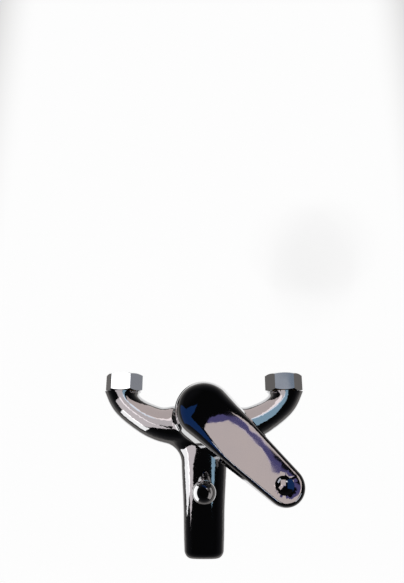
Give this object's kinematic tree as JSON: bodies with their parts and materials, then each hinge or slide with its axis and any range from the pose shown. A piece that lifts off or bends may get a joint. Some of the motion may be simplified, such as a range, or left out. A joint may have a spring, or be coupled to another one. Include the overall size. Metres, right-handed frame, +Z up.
{
  "type": "tub and shower mixer",
  "caption": "Wall-mounted single-lever bath and shower mixer: curved inlet arms with union nuts, drooping spout with aerator, pull-up diverter and threaded shower outlet.",
  "frame": {"origin": "midway between the axes of the two inlets, in the plane of the union nuts' mouths", "axes": "+Z up, +Y into the wall, +X to the right as seen from the room; the spout points to -Y"},
  "size_m": [0.1852, 0.1588, 0.1115],
  "materials": {
    "chrome_cast_body": "cast brass, polished and chrome plated",
    "chrome_turned": "turned brass, chrome plated",
    "chrome_nut": "hexagonal brass bar, chrome plated",
    "chrome_lever": "die-cast zinc, polished and chrome plated",
    "raw_brass": "machined brass, unplated",
    "steel": "stainless steel",
    "fibre_gasket": "pressed fibre washer",
    "seal_rubber": "moulded nitrile rubber",
    "cartridge_plastic": "moulded white acetal",
    "cartridge_dark_plastic": "moulded dark acetal",
    "disc_ceramic": "lapped alumina",
    "plug_plastic": "moulded grey plastic",
    "aerator_plastic": "moulded white plastic"
  },
  "bodies": {
    "base": {"body_casting": "chrome_cast_body", "left_union_tail": "raw_brass", "right_union_tail": "raw_brass", "left_tail_seal": "seal_rubber", "right_tail_seal": "seal_rubber", "left_inlet_strainer": "steel", "right_inlet_strainer": "steel", "left_inlet_gasket": "fibre_gasket", "right_inlet_gasket": "fibre_gasket", "cartridge_base": "cartridge_plastic", "cartridge_port_seals": "seal_rubber", "fixed_ceramic_disc": "disc_ceramic", "cartridge_housing": "cartridge_plastic", "cartridge_ring_nut": "raw_brass", "dome_cover": "chrome_turned", "diverter_gland": "chrome_turned", "gland_seal": "seal_rubber", "diverter_seat": "raw_brass", "shower_outlet_nipple": "chrome_nut", "outlet_seal": "seal_rubber", "aerator_housing": "chrome_turned", "aerator_insert": "aerator_plastic", "aerator_screen": "steel", "aerator_washer": "seal_rubber"},
    "left_nut": {"left_union_nut": "chrome_nut"},
    "right_nut": {"right_union_nut": "chrome_nut"},
    "lever_turn": {"cartridge_rotor": "cartridge_dark_plastic", "rotor_seal": "seal_rubber", "stem_pivot_pin": "steel"},
    "disc_slider": {"moving_ceramic_disc": "disc_ceramic", "disc_carrier": "cartridge_dark_plastic"},
    "lever": {"lever_stem": "raw_brass", "lever_handle": "chrome_lever", "handle_set_screw": "steel", "index_plug": "plug_plastic"},
    "diverter": {"diverter_knob": "chrome_turned", "diverter_stem": "steel", "diverter_piston": "raw_brass", "lower_diverter_seal": "seal_rubber", "upper_diverter_seal": "seal_rubber", "diverter_spring": "steel"}
  },
  "joints": [
    {"name": "left_nut_turn", "type": "hinge", "parent": "base", "child": "left_nut", "pos_m": [-0.075, 0, 0], "axis": [0, 1, 0], "continuous": true},
    {"name": "right_nut_turn", "type": "hinge", "parent": "base", "child": "right_nut", "pos_m": [0.075, 0, 0], "axis": [0, 1, 0], "continuous": true},
    {"name": "lever_swivel", "type": "hinge", "parent": "base", "child": "lever_turn", "pos_m": [0, -0.037, 0.03], "axis": [0, 0, 1], "range_deg": [-96.5, 3.5]},
    {"name": "lever_lift", "type": "hinge", "parent": "lever_turn", "child": "lever", "pos_m": [0, -0.037, 0.03], "axis": [-0.6884, -0.7254, 0], "range_deg": [0, 20]},
    {"name": "disc_slide", "type": "slide", "parent": "lever_turn", "child": "disc_slider", "axis": [0.7254, -0.6884, 0], "range_m": [0, 0.0034]},
    {"name": "diverter_pull", "type": "slide", "parent": "base", "child": "diverter", "axis": [0, 0, 1], "range_m": [0, 0.0075], "stiffness_N_per_m": 180, "springref_m": -0.004, "deforming": ["diverter_spring"]}
  ],
  "couplings": [
    {"joint": "disc_slide", "follows": "lever_lift", "m_per_rad": 0.0092}
  ]
}
